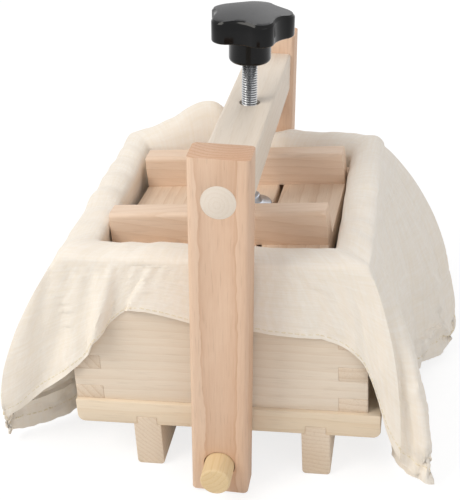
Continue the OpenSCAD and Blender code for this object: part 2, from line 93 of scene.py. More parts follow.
def timber(name, pale, dark, grain, pith, ring_mm, contrast, flecks, tilt=(0, 0, 0),
        end_tone=0.12):
    """Planed, unfinished hardwood: growth rings round a pith line that runs along the grain,
    so faces show long figure and ends show arcs. ring_mm is one year's growth. Real fibres
    and the dark vessels among them are too fine to be seen, so they are drawn 0.67 and 0.95 mm
    wide. End grain drinks in more light than a planed face, by end_tone."""
    fibre_cells, vessel_cells = 1500.0, 1050.0  # cells of noise in a metre
    material, tree, shader = surface(name, Roughness=0.62, IOR=1.5)
    along = "xyz".index(grain)
    place = add_node(tree, "ShaderNodeTexCoord").outputs["Object"]
    centred = add_node(tree, "ShaderNodeMapping", {"Location": [-p * MM for p in pith],
        "Rotation": [math.radians(t) for t in tilt]}, {"Vector": place}).outputs["Vector"]

    def stretched(scale):
        size = [1.0, 1.0, 1.0]
        size[along] = scale
        return add_node(tree, "ShaderNodeMapping", {"Scale": size},
            {"Vector": centred}).outputs["Vector"]

    # the rings wander by a few millimetres, more slowly along the grain than across it
    wander = add_node(tree, "ShaderNodeTexNoise",
        {"Scale": 28.0, "Detail": 3.0, "Roughness": 0.45},
        {"Vector": stretched(0.12)}).outputs["Color"]
    shift = add_node(tree, "ShaderNodeVectorMath", {1: (0.5, 0.5, 0.5)}, {0: wander},
        operation="SUBTRACT").outputs[0]
    shift = add_node(tree, "ShaderNodeVectorMath", {"Scale": 3.2 * ring_mm * MM}, {0: shift},
        operation="SCALE").outputs[0]
    bent = add_node(tree, "ShaderNodeVectorMath", links={0: centred, 1: shift},
        operation="ADD").outputs[0]
    # one period of Blender's ring wave is pi / 10 over its scale
    rings = add_node(tree, "ShaderNodeTexWave",
        {"Scale": math.pi / 10 / (ring_mm * MM), "Distortion": 1.2,
        "Detail": 2.0, "Detail Scale": 0.6}, {"Vector": bent}, wave_type="RINGS",
        rings_direction=grain.upper(),
        wave_profile="SAW").outputs["Fac"]
    # growth darkens slowly from spring to autumn, and drops back at once
    late = add_node(tree, "ShaderNodeValToRGB", links={"Fac": rings},
        stops=[(0.0, grey(0.0)), (0.55, grey(0.18)), (0.86, grey(0.6)), (0.97, grey(1.0)),
        (1.0, grey(0.1))]).outputs["Color"]
    broad = add_node(tree, "ShaderNodeTexNoise", {"Scale": 22.0, "Detail": 2.0},
        {"Vector": stretched(0.18)}).outputs["Fac"]
    fibre = add_node(tree, "ShaderNodeTexNoise",
        {"Scale": fibre_cells, "Detail": 3.0, "Roughness": 0.6},
        {"Vector": stretched(0.05)}).outputs["Fac"]
    vessel = add_node(tree, "ShaderNodeTexNoise", {"Scale": vessel_cells, "Detail": 1.0},
        {"Vector": stretched(0.07)}).outputs["Fac"]
    vessels = add_node(tree, "ShaderNodeValToRGB", links={"Fac": vessel},
        stops=[(0.0, grey(1.0)), (0.31, grey(1.0)), (0.4, grey(0.0)),
        (1.0, grey(0.0))]).outputs["Color"]

    # how dark the wood is: rings, broad shade, fibres and end grain together
    tone = add_node(tree, "ShaderNodeMath", {1: contrast}, {0: late},
        operation="MULTIPLY").outputs[0]
    broad_part = add_node(tree, "ShaderNodeMapRange",
        {"From Min": 0.35, "From Max": 0.68, "To Max": 0.42},
        {"Value": broad}).outputs["Result"]
    tone = add_node(tree, "ShaderNodeMath", links={0: tone, 1: broad_part},
        operation="ADD").outputs[0]
    fibre_part = add_node(tree, "ShaderNodeMapRange",
        {"From Min": 0.3, "From Max": 0.7, "To Min": -0.09, "To Max": 0.12},
        {"Value": fibre}).outputs["Result"]
    tone = add_node(tree, "ShaderNodeMath", links={0: tone, 1: fibre_part}, operation="ADD",
        use_clamp=True).outputs[0]
    facing = add_node(tree, "ShaderNodeTexCoord").outputs["Normal"]
    across = add_node(tree, "ShaderNodeSeparateXYZ", links={0: facing}).outputs[along]
    across = add_node(tree, "ShaderNodeMath", links={0: across}, operation="ABSOLUTE").outputs[0]
    end_part = add_node(tree, "ShaderNodeMapRange",
        {"From Min": 0.7, "From Max": 0.95, "To Max": end_tone},
        {"Value": across}).outputs["Result"]
    tone = add_node(tree, "ShaderNodeMath", links={0: tone, 1: end_part}, operation="ADD",
        use_clamp=True).outputs[0]
    body = add_node(tree, "ShaderNodeMix", {"A": linear(pale), "B": linear(dark)},
        data_type="RGBA")
    tree.links.new(tone, body.inputs["Factor"])
    marks = add_node(tree, "ShaderNodeMath", {1: flecks}, {0: vessels},
        operation="MULTIPLY").outputs[0]
    flecked = add_node(tree, "ShaderNodeMix", {"B": darker(dark, 0.62)}, data_type="RGBA")
    tree.links.new(marks, flecked.inputs["Factor"])
    # a mix node's colour result is its output 2, and its first colour its input 6
    tree.links.new(body.outputs[2], flecked.inputs[6])
    tree.links.new(flecked.outputs[2], shader.inputs["Base Color"])
    rough = add_node(tree, "ShaderNodeMapRange", {"To Min": 0.52, "To Max": 0.72},
        {"Value": fibre}).outputs["Result"]
    tree.links.new(rough, shader.inputs["Roughness"])
    height = add_node(tree, "ShaderNodeMath", links={0: fibre, 1: vessels},
        operation="SUBTRACT").outputs[0]
    bump = add_node(tree, "ShaderNodeBump", {"Strength": 0.22, "Distance": 0.2 * MM},
        {"Height": height})
    tree.links.new(bump.outputs["Normal"], shader.inputs["Normal"])
    return material


def finish_mesh(obj, angle=35):
    """Smooth faces, with the edges kept sharp that turn by more than the angle."""
    obj.data.polygons.foreach_set("use_smooth", [True] * len(obj.data.polygons))
    obj.data.set_sharp_from_angle(angle=math.radians(angle))
    obj.data.update()


def link(mesh, name, material, body):
    """Links a mesh as a piece that rides on a body and takes its finish from a slot."""
    obj = bpy.data.objects.new(name, mesh)
    bpy.context.scene.collection.objects.link(obj)
    mesh.materials.clear()
    mesh.materials.append(material)
    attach(obj, body)
    return obj


def eased(node, body, material, radius):
    """A piece of timber as it leaves the sander: the node's own solid with its edges eased."""
    b = bmesh.new()
    b.from_mesh(nodes[node].data)
    bmesh.ops.remove_doubles(b, verts=b.verts, dist=2e-6)
    bmesh.ops.dissolve_limit(b, angle_limit=math.radians(0.5), verts=b.verts, edges=b.edges)
    sharp = [e for e in b.edges
        if len(e.link_faces) == 2 and e.calc_face_angle(0) > math.radians(40)]
    bmesh.ops.bevel(b, geom=sharp, offset=radius * MM, segments=2, profile=0.5, affect="EDGES",
        clamp_overlap=True)
    bmesh.ops.recalc_face_normals(b, faces=b.faces)
    bmesh.ops.triangulate(b, faces=[f for f in b.faces if len(f.verts) > 4])
    mesh = bpy.data.meshes.new(node + "_eased")
    b.to_mesh(mesh)
    b.free()
    obj = link(mesh, node + "_eased", material, body)
    finish_mesh(obj)
    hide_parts(node)


base_timber = timber("birch, planed", "#EBDAC2", "#DCC3A1", "x", (0, 40, -60), 5.5, 0.35, 0.12)
runner_timber = timber("beech, end grain in front", "#E8D8C4", "#CFB597", "y", (70, 0, 130), 2.4,
    0.4, 0.1)
eased("base_board", "base", base_timber, 0.5)
for side in ("left", "right"):
    eased(side + "_runner", "base", runner_timber, 0.5)

# ---- Box --------------------------------------------------------------------------------
# Four walls of planed poplar, box-jointed at the corners. The side walls' fingers end in
# the front and back faces as end grain, and each joint reads as a fine darker line.
box_long = timber("poplar, grain left to right", "#EBDDCB", "#DBC5AB", "x", (10, -40, 180), 5.0,
    0.35, 0.1)
box_deep = timber("poplar, grain front to back", "#E8D8C5", "#CDB394", "y", (60, 0, 150), 4.0,
    0.45, 0.12)
for end in ("front", "back"):
    eased(end + "_wall", "box", box_long, 0.4)
for side in ("left", "right"):
    eased(side + "_wall", "box", box_deep, 0.4)

# ---- Cheesecloth ------------------------------------------------------------------------
# One square of undyed cotton, loosely woven. It is pushed down into the box by hand, so it
# lines the walls and stands in soft rolls on the rim. What is left hangs outside in folds,
# with the sheet's four corners at the box's corners.
CLOTH_THICK = 0.7 * MM
# in millimetres from here: where the wood is, and how near the middle of the sheet comes
BOX_W, BOX_D, WALL, BOX_LOW = 150.0, 145.0, 14.5, 38.0
FLOOR_Z, RIM_Z = 39.0, 121.0
BOARD_LEFT, BOARD_RIGHT, BOARD_FRONT, BOARD_LOW = -75.5, 81.5, 74.7, 24.8
UPRIGHTS_LEFT, UPRIGHTS_RIGHT, UPRIGHTS_DEEP = -24, 34, 76.2
OFF_WALL, OFF_WOOD, OFF_TABLE = 0.9, 0.8, 1.2
# the lining stands off the wall where it turns over the rim: by how much, and from what depth
BULGE, BULGE_H = 1.0, 12.0
INNER_ROUND, OUTER_ROUND, NO_ROUND = 3.0, 1.5, 1e-6  # radii at the box's corners
PER_SIDE, SIDE_RUN = 6, 142.0  # knots for each side of the box, and length of cloth round it

# the hem, six points for each side of the box from the front left corner to the right and on
# round it: x and y past the box's own outline, the height, and how far the fold swells out
HEM = [
    (-46, 3, 20, 13), (-22, -2.4, 62, 6), (-20, -2.7, 94, 3),
    (-6, -2.3, 88, 0), (1, -2.3, 85, 0), (20, -2.4, 75, 2),
    (16, -7.5, 20, 9), (33, -34, 5, 14), (13, -36, 6, 8),
    (17, -12, 18, 10), (26, -6, 8, 14), (37, -12, 5, 16),
    (45.7, -21, 14, 18), (30, 1.8, 44, 4), (6, 2.2, 52, 1),
    (2, 2.4, 52, 0), (-5, 2.4, 50, 2), (-26, 3, 44, 4),
    (-32, 1.5, 5, 12), (-22, 4, 7, 12), (-18, 2, 16, 10),
    (-15, 2, 14, 9), (-13.5, -6, 5, 10), (-43, -10, 4, 14),
]
# how high the roll on the rim stands at the same points: it stands up in a puff at the back
CREST = [
    3.4, 2.4, 3.0, 2.4, 2.4, 2.4,
    2.4, 2.9, 3.4, 2.9, 3.9, 5.4,
    7.4, 9.4, 10.4, 9.0, 28.0, 16.5,
    7.0, 5.4, 3.9, 4.9, 3.4, 2.9,
]
# folds in the hanging cloth: place along the rim in sides of the box, width along it, depth
# in millimetres, and how far the fold leans along the rim on its way to the hem
FOLDS = [
    (0.275, 0.028, 8.5, 0.03), (0.21, 0.03, -5.0, 0.02), (0.13, 0.035, 3.0, -0.05),
    (3.93, 0.05, 4.0, -0.03), (3.85, 0.035, -3.5, 0.00), (3.72, 0.05, 3.0, 0.00),
    (3.5, 0.06, -3.0, 0.00), (3.3, 0.05, 3.5, 0.00), (3.12, 0.04, -2.5, 0.00),
    (1.03, 0.035, 3.5, 0.02), (1.11, 0.03, -2.5, 0.00), (1.24, 0.045, 3.0, 0.02),
    (1.42, 0.05, -3.0, 0.00), (1.62, 0.05, 2.5, 0.05), (1.8, 0.04, -2.0, 0.02),
    (1.92, 0.035, 3.0, 0.00), (2.2, 0.05, 2.0, 0.00), (2.8, 0.05, 2.0, 0.00),
    (2.95, 0.04, -3.0, 0.00),
]


def round_curve(knots, at):
    """A smooth closed curve through evenly spaced knots, six for each side of the box."""
    values = np.array(knots, float).reshape(4 * PER_SIDE, -1)
    place = at * PER_SIDE
    first = np.floor(place).astype(int)
    t = (place - first)[:, None]
    a, b, c, d = (values[(first + k) % len(values)] for k in (-1, 0, 1, 2))
    square, cube = 2 * a - 5 * b + 4 * c - d, 3 * b - a - 3 * c + d
    return (2 * b + (c - a) * t + square * t**2 + cube * t**3) / 2


def on_rect(half_w, half_d, at, corner):
    """Points on a rectangle with rounded corners, from the front left corner to the right."""
    corners = np.array([[-1, -1], [1, -1], [1, 1], [-1, 1], [-1, -1]], float) * [half_w, half_d]
    side = np.floor(at).astype(int) % 4
    share = (at % 1)[:, None]
    flat = corners[side] + (corners[side + 1] - corners[side]) * share
    # pull the points near a corner in to a round of the given radius
    inset = [half_w - corner, half_d - corner]
    centre = np.clip(flat, [-inset[0], -inset[1]], inset)
    away = flat - centre
    far = np.linalg.norm(away, axis=1, keepdims=True)
    return np.where(far > corner, centre + away / np.maximum(far, 1e-9) * corner, flat)


def wrinkle(points, size, seed):
    """Smooth noise at each point, for features of about that size in millimetres."""
    offset = Vector((seed * 7.3, seed * 3.1, seed * 5.7))
    return np.array([noise.noise(Vector(p) / size + offset) for p in points])


INSIDE_ROWS, ROLL_ROWS, HANG_ROWS, COLUMNS = 20, 14, 52, 320
FIRST_HANG = INSIDE_ROWS + ROLL_ROWS
SHEET_ROWS = FIRST_HANG + HANG_ROWS


def cloth_rows(at):
    """The middle surface of the cloth in millimetres, in rows of points from floor to hem."""
    hem = round_curve(HEM, at)
    hem[:, :2] += on_rect(BOX_W / 2, BOX_D / 2, at, NO_ROUND)
    crest = round_curve(CREST, at)[:, 0]
    inner_w, inner_d = BOX_W / 2 - WALL - OFF_WALL, BOX_D / 2 - WALL - OFF_WALL
    outer = on_rect(BOX_W / 2 + OFF_WALL, BOX_D / 2 + OFF_WALL, at, OUTER_ROUND)
    rows = []
    for share in np.linspace(0, 1, INSIDE_ROWS):
        z = FLOOR_Z + OFF_WALL + (RIM_Z - FLOOR_Z - OFF_WALL) * share
        slack = BULGE * np.clip((z - RIM_Z + BULGE_H) / BULGE_H, 0, 1) ** 1.5
        lining = on_rect(inner_w - slack, inner_d - slack, at, INNER_ROUND)
        rows.append(np.column_stack([lining, np.full(COLUMNS, z)]))
    inner = on_rect(inner_w - BULGE, inner_d - BULGE, at, INNER_ROUND)
    # over the rim in a soft roll
    for share in np.linspace(0, 1, ROLL_ROWS + 1)[1:]:
        arc = max(math.sin(math.pi * share), 0.0)
        p = inner + (outer - inner) * (0.5 - 0.5 * math.cos(math.pi * share))
        rows.append(np.column_stack([p, RIM_Z + 1.6 * arc**0.5 + (crest - 0.7) * arc**1.25]))
    # down the outside to the hem, swelling out on the way. Where the hem lies further in than
    # the rim, the cloth first goes down and only then in, so that it stays off the box
    facing = on_rect(1, 1, at, NO_ROUND)
    away = hem[:, :2] - outer
    inward = np.clip(-np.sign(away[:, 1]) * facing[:, 1] * PER_SIDE, 0, 1)
    # near a corner the folds swell a little to the front or the back as well
    sideways = np.clip((abs(facing[:, 0]) - 0.83) / 0.17, 0, 1) * 0.4 * facing[:, 1]
    for t in np.linspace(0, 1, HANG_ROWS + 1)[1:]:
        swell = hem[:, 3] * 2 * t * (1 - t)
        t_y = t + (t**4 - t) * inward
        rows.append(np.column_stack([outer[:, 0] + away[:, 0] * t + facing[:, 0] * swell,
            outer[:, 1] + away[:, 1] * t_y + sideways * swell,
            RIM_Z + (hem[:, 2] - RIM_Z) * t + swell * 0.6]))
    return np.array(rows)


def cloth_mesh():
    """The sheet as one mesh, with the distances along the cloth in metres as its UV map."""
    at = np.arange(COLUMNS) * 4.0 / COLUMNS
    rows = cloth_rows(at)
    points = rows.reshape(-1, 3)
    # floor of the lining: rings that shrink to the middle
    rings = [rows[0] * [share, share, 1] for share in (0.86, 0.66, 0.45, 0.25, 0.1)]
    verts = np.concatenate([points, *rings, [[0, 0, FLOOR_Z + OFF_WALL]]])
    faces = []

    def strip(first, second):
        for c in range(COLUMNS):
            d = (c + 1) % COLUMNS
            faces.append((first + c, first + d, second + d, second + c))

    for r in range(SHEET_ROWS - 1):
        strip(r * COLUMNS, (r + 1) * COLUMNS)
    for r in range(len(rings)):
        strip((SHEET_ROWS + r) * COLUMNS, 0 if r == 0 else (SHEET_ROWS + r - 1) * COLUMNS)
    last = (SHEET_ROWS + len(rings) - 1) * COLUMNS
    for c in range(COLUMNS):
        faces.append((len(verts) - 1, last + (c + 1) % COLUMNS, last + c))
    mesh = bpy.data.meshes.new("cheesecloth_sheet")
    mesh.from_pydata((verts * MM).tolist(), [], faces)
    steps = np.linalg.norm(np.diff(rows, axis=0), axis=2).mean(axis=1)
    run = np.concatenate([[0], np.cumsum(steps)])
    around = at * SIDE_RUN
    uv = mesh.uv_layers.new(name="weave")
    for polygon in mesh.polygons:
        cols = [mesh.loops[i].vertex_index % COLUMNS for i in polygon.loop_indices]
        wrap = max(cols) - min(cols) > COLUMNS / 2
        for i, c in zip(polygon.loop_indices, cols):
            v = mesh.loops[i].vertex_index
            if v >= len(points):
                uv.data[i].uv = verts[v][:2] * MM
                continue
            u = around[c] + (4 * SIDE_RUN if wrap and c < COLUMNS / 2 else 0)
            uv.data[i].uv = (u * MM, run[v // COLUMNS] * MM)
    mesh.update()
    return mesh


def read_points(mesh, what="co"):
    values = np.empty(len(mesh.vertices) * 3)
    mesh.vertices.foreach_get(what, values)
    return values.reshape(-1, 3)


def keep_clear(mm, outside):
    """Moves the hanging cloth off the box, the base board, the floor and the uprights."""
    for left, right, deep, low, high in (
            (-BOX_W / 2, BOX_W / 2, BOX_D / 2, BOX_LOW, RIM_Z),
            (BOARD_LEFT, BOARD_RIGHT, BOARD_FRONT, BOARD_LOW, FLOOR_Z + 0.6)):
        left, right, deep = left - OFF_WOOD, right + OFF_WOOD, deep + OFF_WOOD
        x, y = mm[:, 0], mm[:, 1]
        inside = outside & (mm[:, 2] < high) & (mm[:, 2] > low)
        inside = inside & (x > left) & (x < right) & (abs(y) < deep)
        to_side = np.minimum(x - left, right - x)
        to_end = deep - abs(y)
        by_end = inside & (to_end < to_side)
        by_side = inside & ~by_end
        mm[by_end, 1] = np.sign(y[by_end]) * deep
        mm[by_side, 0] = np.where(x[by_side] - left < right - x[by_side], left, right)
    near = (mm[:, 0] > UPRIGHTS_LEFT) & (mm[:, 0] < UPRIGHTS_RIGHT) & outside
    mm[near, 1] = np.clip(mm[near, 1], -UPRIGHTS_DEEP, UPRIGHTS_DEEP)
    mm[:, 2] = np.maximum(mm[:, 2], OFF_TABLE)
    return mm


def write_points(obj, mm, row):
    """Gives the sheet new points in millimetres, with its hanging part kept clear."""
    mm = keep_clear(mm, (row >= FIRST_HANG) & (row < SHEET_ROWS))
    obj.data.vertices.foreach_set("co", (mm * MM).reshape(-1))
    obj.data.update()


def shape_cloth(obj):
    """Presses soft folds and small wrinkles into the sheet, along its own normals."""
    mm = read_points(obj.data) / MM
    normal = read_points(obj.data, "normal")
    row = np.arange(len(mm)) // COLUMNS
    at = (np.arange(len(mm)) % COLUMNS) * 4.0 / COLUMNS
    hang = np.clip((row - FIRST_HANG) / HANG_ROWS, 0, 1) * (row < SHEET_ROWS)
    rim = np.exp(-(((row - INSIDE_ROWS - ROLL_ROWS / 2) / 6.0) ** 2)) * (row < SHEET_ROWS)
    lining = (row < INSIDE_ROWS) * 1.0
    soft = wrinkle(mm * [1, 1, 0.45], 26.0, 1)
    fine = wrinkle(mm * [1, 1, 0.6], 9.0, 2)
    # pleats cross the roll on the rim, where the cloth is gathered, and fade on the way down
    pleats = wrinkle(np.column_stack([at * SIDE_RUN, row * 0.7, 0 * row]), 12.0, 4)
    folds = np.zeros(len(mm))
    for centre, width, depth, lean in FOLDS:
        gap = (at - centre - lean * hang + 2) % 4 - 2
        folds += depth * np.exp(-((gap / width) ** 2)) * np.clip(hang * 1.6, 0, 1)
    # the cloth lies flat where the uprights press on it, at 0.56 and 2.5 sides round
    near_frame = np.exp(-(((at - 0.56) / 0.17) ** 4)) + np.exp(-(((at - 2.5) / 0.17) ** 4))
    calm = 1 - np.clip(near_frame, 0, 1)
    move = (hang * (2.0 * soft + 0.6 * fine) * (0.15 + 0.85 * calm)
        + rim * (1.3 * soft + 0.5 * fine + 2.2 * pleats) * (0.3 + 0.7 * calm)
        + folds * calm - lining * (0.05 + 0.35 * np.abs(soft)))
    write_points(obj, mm + normal * move[:, None], row)
    return row, hang, calm


HELD_BACK, SETTLE_FRAMES = 0.12, 16


def settle(obj, row, hang, calm):
    """Lets the slack cloth hang under its own weight, held by the lining, the rim and frame."""
    hold = np.where(row < FIRST_HANG - 1, 1.0, 0.0)
    hold = np.maximum(hold, (row >= SHEET_ROWS) * 1.0)
    hanging = hold < 1
    hold = np.where(hanging, np.clip(1 - hang * 14, 0, 1) * 0.9 + HELD_BACK, hold)
    hold = np.where(hanging, np.maximum(hold, 1 - calm), hold)
    mm = read_points(obj.data) / MM
    on_floor = hanging & (mm[:, 2] < 9)
    hold = np.clip(np.where(on_floor, np.maximum(hold, 0.6), hold), 0, 1)
    group = obj.vertex_groups.new(name="held")
    hold = np.round(hold, 2)
    for weight in np.unique(hold):
        group.add([int(i) for i in np.nonzero(hold == weight)[0]], float(weight), "REPLACE")
    cloth = obj.modifiers.new("settle", "CLOTH")
    set_to = cloth.settings
    set_to.quality = 6
    set_to.mass = 0.02
    set_to.air_damping = 3.0
    set_to.tension_stiffness = 12
    set_to.compression_stiffness = 6
    set_to.shear_stiffness = 4
    set_to.bending_stiffness = 0.02
    set_to.tension_damping = set_to.compression_damping = 12
    set_to.vertex_group_mass = "held"
    set_to.pin_stiffness = 0.6
    set_to.shrink_min = -0.035
    cloth.collision_settings.use_collision = False
    cloth.collision_settings.use_self_collision = False
    cloth.point_cache.frame_start = 1
    cloth.point_cache.frame_end = SETTLE_FRAMES
    scene = bpy.context.scene
    for step in range(1, SETTLE_FRAMES + 1):
        scene.frame_set(step)
    moved = obj.evaluated_get(bpy.context.evaluated_depsgraph_get()).data
    mm = read_points(moved) / MM
    obj.modifiers.clear()
    scene.frame_set(1)
    write_points(obj, mm, row)


def cotton(name):
    """Cotton muslin, loosely woven and unbleached, boiled soft: a dull cream with a fine
    crepe surface. Threads lie about 0.5 mm apart, finer than a pixel, so only the thicker slub
    threads among them are drawn, at 1.6 mm."""
    material, tree, shader = surface(name, Roughness=0.95, IOR=1.4, Sheen_Weight=0.15,
        Sheen_Roughness=0.6)
    uv = add_node(tree, "ShaderNodeUVMap", uv_map="weave").outputs["UV"]
    slubs = []
    for scale in ((0.09, 1.0, 1.0), (1.0, 0.09, 1.0)):
        way = add_node(tree, "ShaderNodeMapping", {"Scale": scale},
            {"Vector": uv}).outputs["Vector"]
        slubs.append(add_node(tree, "ShaderNodeTexNoise",
            {"Scale": 1.0 / (1.6 * MM), "Detail": 2.0, "Roughness": 0.6},
            {"Vector": way}).outputs["Fac"])
    slub = add_node(tree, "ShaderNodeMath", links={0: slubs[0], 1: slubs[1]},
        operation="ADD").outputs[0]
    crinkle = add_node(tree, "ShaderNodeTexNoise",
        {"Scale": 1.0 / (7.0 * MM), "Detail": 2.5, "Roughness": 0.55},
        {"Vector": uv}).outputs["Fac"]
    height = add_node(tree, "ShaderNodeMath", {1: 3.0}, {0: crinkle, 2: slub},
        operation="MULTIPLY_ADD").outputs[0]
    bump = add_node(tree, "ShaderNodeBump", {"Strength": 0.28, "Distance": 0.5 * MM},
        {"Height": height})
    tree.links.new(bump.outputs["Normal"], shader.inputs["Normal"])
    half = add_node(tree, "ShaderNodeMath", {1: 0.5}, {0: slub}, operation="MULTIPLY").outputs[0]
    colour = add_node(tree, "ShaderNodeValToRGB", links={"Fac": half},
        stops=[(0.36, linear("#F3E9D9")), (0.5, linear("#F5ECDF")),
        (0.64, linear("#F7F0E5"))]).outputs["Color"]
    tree.links.new(colour, shader.inputs["Base Color"])
    return material


cloth_cotton = cotton("cotton muslin, unbleached")
cheesecloth = link(cloth_mesh(), "cheesecloth_sheet", cloth_cotton, "box")
held = shape_cloth(cheesecloth)
settle(cheesecloth, *held)


def plain_mesh(obj):
    """Turns the piece and its live modifiers into one plain mesh."""
    evaluated = obj.evaluated_get(bpy.context.evaluated_depsgraph_get())
    plain = bpy.data.meshes.new_from_object(evaluated)
    obj.modifiers.clear()
    obj.data = plain


# the hem is turned up and sewn, one stitch each 3.2 mm, about 5 mm from the edge. The spun
# thread's twist shows as bands of lighter and darker cream, 0.4 mm wide
seam_start = (SHEET_ROWS - 4) * COLUMNS
seam_points = read_points(cheesecloth.data)[seam_start : seam_start + COLUMNS]
seam = bpy.data.meshes.new("hem_stitches")
seam.from_pydata(seam_points.tolist(), [(c, (c + 1) % COLUMNS) for c in range(COLUMNS)], [])
thread_cotton, tree, shader = surface("sewing cotton, spun", Roughness=0.85, IOR=1.4)
place = add_node(tree, "ShaderNodeTexCoord").outputs["Object"]
twist = add_node(tree, "ShaderNodeTexNoise", {"Scale": 2500.0}, {"Vector": place}).outputs["Fac"]
bands = add_node(tree, "ShaderNodeValToRGB", links={"Fac": twist},
    stops=[(0.35, linear("#E2D4B8")), (0.65, linear("#F3E9D3"))])
tree.links.new(bands.outputs["Color"], shader.inputs["Base Color"])


def named_input(tree, name, kind, value=None):
    """Adds an input to a geometry node tree, and gives its identifier."""
    made = tree.interface.new_socket(name, in_out="INPUT", socket_type=kind)
    if value is not None:
        made.default_value = value
    return made.identifier


def grow(obj, tree, values):
    """Runs a geometry node tree on a piece, with its inputs set, and keeps the plain mesh."""
    modifier = obj.modifiers.new("grow", "NODES")
    modifier.node_group = tree
    for identifier, value in values.items():
        modifier[identifier] = value
    obj.update_tag()
    plain_mesh(obj)


stitching = bpy.data.node_groups.new("stitches along a hem", "GeometryNodeTree")
named_input(stitching, "Hem", "NodeSocketGeometry")
stitch_sizes = {named_input(stitching, name, "NodeSocketFloat", value): value
    for name, value in (("Stitch pitch", 3.2 * MM), ("Stitch length", 2.2 * MM),
    ("Thread radius", 0.5 * MM))}
stitching.interface.new_socket("Stitches", in_out="OUTPUT", socket_type="NodeSocketGeometry")
given = add_node(stitching, "NodeGroupInput").outputs
path = add_node(stitching, "GeometryNodeMeshToCurve", links={0: given["Hem"]}).outputs[0]
spaced = add_node(stitching, "GeometryNodeResampleCurve",
    links={"Curve": path, "Length": given["Stitch pitch"]},
    mode="LENGTH").outputs[0]
stitch = add_node(stitching, "GeometryNodeMeshCylinder", {"Vertices": 6, "Side Segments": 1},
    {"Radius": given["Thread radius"],
    "Depth": given["Stitch length"]}).outputs["Mesh"]
tangent = add_node(stitching, "GeometryNodeInputTangent").outputs[0]
turned_along = add_node(stitching, "FunctionNodeAlignRotationToVector", links={"Vector": tangent},
    axis="Z").outputs[0]
sewn = add_node(stitching, "GeometryNodeInstanceOnPoints",
    links={"Points": spaced, "Instance": stitch,
    "Rotation": turned_along}).outputs[0]
sewn = add_node(stitching, "GeometryNodeRealizeInstances", links={0: sewn}).outputs[0]
sewn = add_node(stitching, "GeometryNodeSetMaterial", {"Material": thread_cotton},
    {"Geometry": sewn}).outputs[0]
add_node(stitching, "NodeGroupOutput", links={0: sewn})
hem_stitches = bpy.data.objects.new("hem_stitches", seam)
bpy.context.scene.collection.objects.link(hem_stitches)
grow(hem_stitches, stitching, stitch_sizes)
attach(hem_stitches, "box")

thickness = cheesecloth.modifiers.new("thickness", "SOLIDIFY")
thickness.thickness = CLOTH_THICK
thickness.offset = 0
plain_mesh(cheesecloth)
finish_mesh(cheesecloth, 60)
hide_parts("cheesecloth")

# ---- Frame ------------------------------------------------------------------------------
# Two uprights and a cross beam, joined by round tenons that are glued in and sanded flush.
# The frame leans 3 degrees to the right, because the dowel only holds its lower ends.
upright_timber = timber("cherry-toned beech, upright", "#E8CAB0", "#CBA080", "z", (3, -50, 0),
    2.6, 0.5, 0.15, (0, -3, 0), 0.5)
beam_timber = timber("maple, beam", "#EADFD1", "#DCCCB8", "y", (60, 0, 110), 4.0, 0.3, 0.08)
tenon_timber = timber("maple, turned tenon", "#EFE6DB", "#E0D1BF", "y", (10.2, 0, 162.6), 2.0,
    0.3, 0.05)
for end in ("front", "back"):
    eased(end + "_upright", "yoke", upright_timber, 0.8)
    eased(end + "_tenon", "yoke", tenon_timber, 0.15)
eased("cross_beam", "yoke", beam_timber, 0.6)

# ---- Lock dowel -------------------------------------------------------------------------
# A loose birch dowel, turned and cut to length. It goes through both uprights under the base
# board, and is pulled out by hand to take the frame off.
dowel_timber = timber("birch, turned dowel", "#EBD3AB", "#DABB88", "y", (-6, 0, 30), 2.4, 0.4,
    0.12)
eased("lock_dowel", "dowel", dowel_timber, 0.3)

# ---- Screw: insert, threaded rod, star knob and swivel foot -----------------------------
# An M8 stud in bright zinc plated steel, which runs in a threaded insert in the beam. A black
# phenolic star knob is moulded on its top, and its lower end is a ball that the foot holds.


def zinc_plate(name, colour, roughness):
    """Bright zinc plate on steel: tumbled marks under a mirror-like skin. Real marks are finer
    than a pixel, so they are drawn 1.1 mm wide."""
    material, tree, shader = surface(name, Metallic=1.0, Roughness=roughness)
    place = add_node(tree, "ShaderNodeTexCoord").outputs["Object"]
    marks = add_node(tree, "ShaderNodeTexNoise", {"Scale": 900.0, "Detail": 4.0},
        {"Vector": place}).outputs["Fac"]
    rough = add_node(tree, "ShaderNodeMapRange",
        {"To Min": roughness - 0.08, "To Max": roughness + 0.12},
        {"Value": marks}).outputs["Result"]
    tree.links.new(rough, shader.inputs["Roughness"])
    tone = add_node(tree, "ShaderNodeValToRGB", links={"Fac": marks},
        stops=[(0.3, darker(colour, 0.86)), (0.7, linear(colour))]).outputs["Color"]
    tree.links.new(tone, shader.inputs["Base Color"])
    return material


bright_zinc = zinc_plate("steel, bright zinc plate", "#BDBFC3", 0.22)
for node in ("threaded_insert", "batten_screws"):
    nodes[node].data.materials.clear()
    nodes[node].data.materials.append(bright_zinc)


def grid_mesh(name, rings):
    """A closed mesh from rings of points, each as long as the next."""
    count = len(rings[0])
    verts = [tuple(p) for ring in rings for p in ring]
    faces = []
    for r in range(len(rings) - 1):
        for c in range(count):
            d = (c + 1) % count
            faces.append((r * count + c, r * count + d, (r + 1) * count + d, (r + 1) * count + c))
    faces.append(tuple(range(count))[::-1])
    faces.append(tuple((len(rings) - 1) * count + c for c in range(count)))
    mesh = bpy.data.meshes.new(name)
    mesh.from_pydata(verts, [], faces)
    b = bmesh.new()
    b.from_mesh(mesh)
    bmesh.ops.remove_doubles(b, verts=b.verts, dist=1e-7)
    bmesh.ops.recalc_face_normals(b, faces=b.faces)
    b.to_mesh(mesh)
    b.free()
    return mesh


